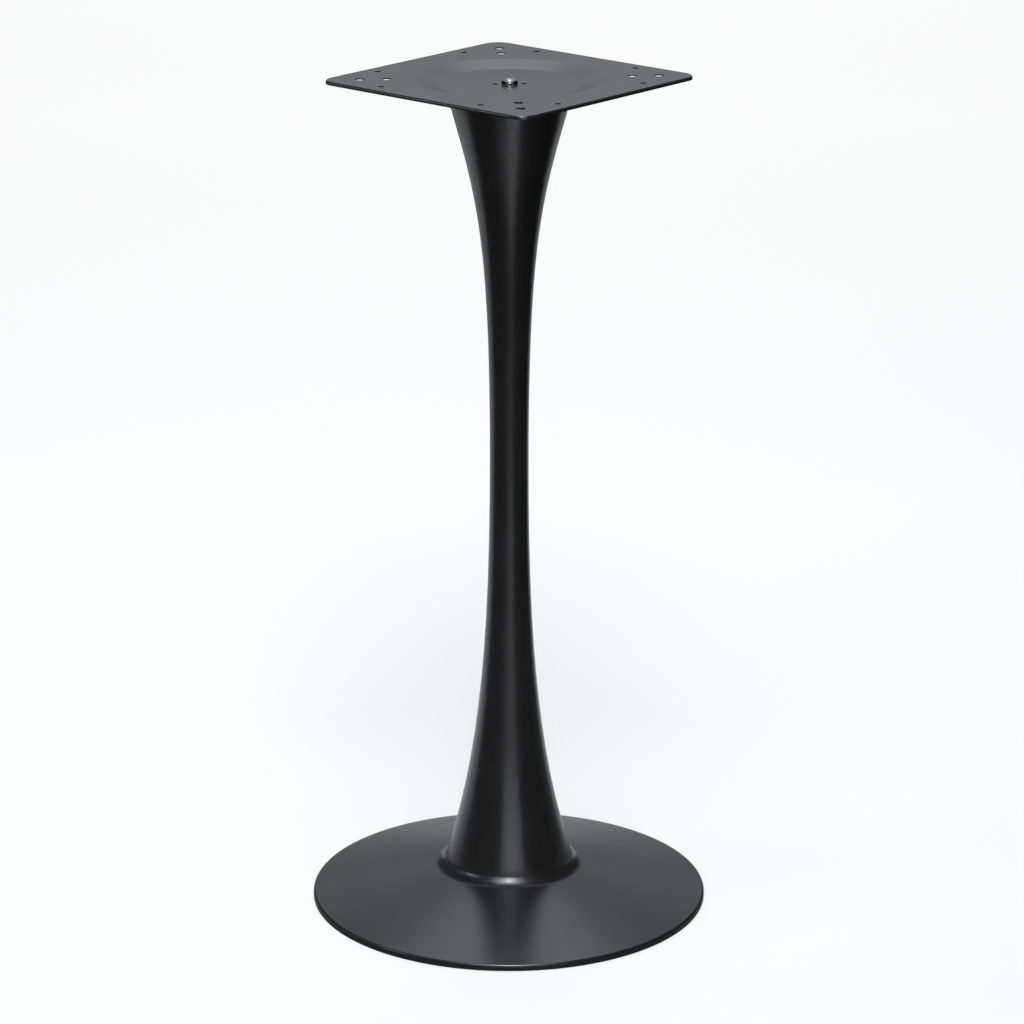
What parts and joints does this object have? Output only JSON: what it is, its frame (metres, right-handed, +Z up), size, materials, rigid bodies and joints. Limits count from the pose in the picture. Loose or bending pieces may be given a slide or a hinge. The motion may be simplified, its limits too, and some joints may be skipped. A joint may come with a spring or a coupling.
{
  "type": "tulip table base",
  "caption": "Bar-height table pedestal with a square dished top plate, a slim trumpet-shaped column and a low conical round foot, in black satin powder coat.",
  "frame": {"origin": "on the floor, on the axis of the column", "axes": "+Z up along the column's axis, X and Y along the sides of the top plate"},
  "size_m": [0.5, 0.5, 1.06],
  "materials": {
    "powder_coat": "black satin powder coat on pressed steel",
    "black_steel": "blackened steel",
    "bright_steel": "zinc-plated steel",
    "cast_weight": "grey iron casting, primed dark grey",
    "pad_rubber": "matt black rubber"
  },
  "bodies": {
    "root": {"top_plate": "powder_coat", "column": "powder_coat", "column_top_cap": "powder_coat", "locating_pins": "powder_coat", "foot_cover": "powder_coat", "foot_weight": "cast_weight", "foot_pads": "pad_rubber", "tie_rod": "bright_steel", "top_nut": "black_steel", "bottom_washer": "bright_steel", "bottom_nut": "bright_steel"}
  },
  "joints": []
}
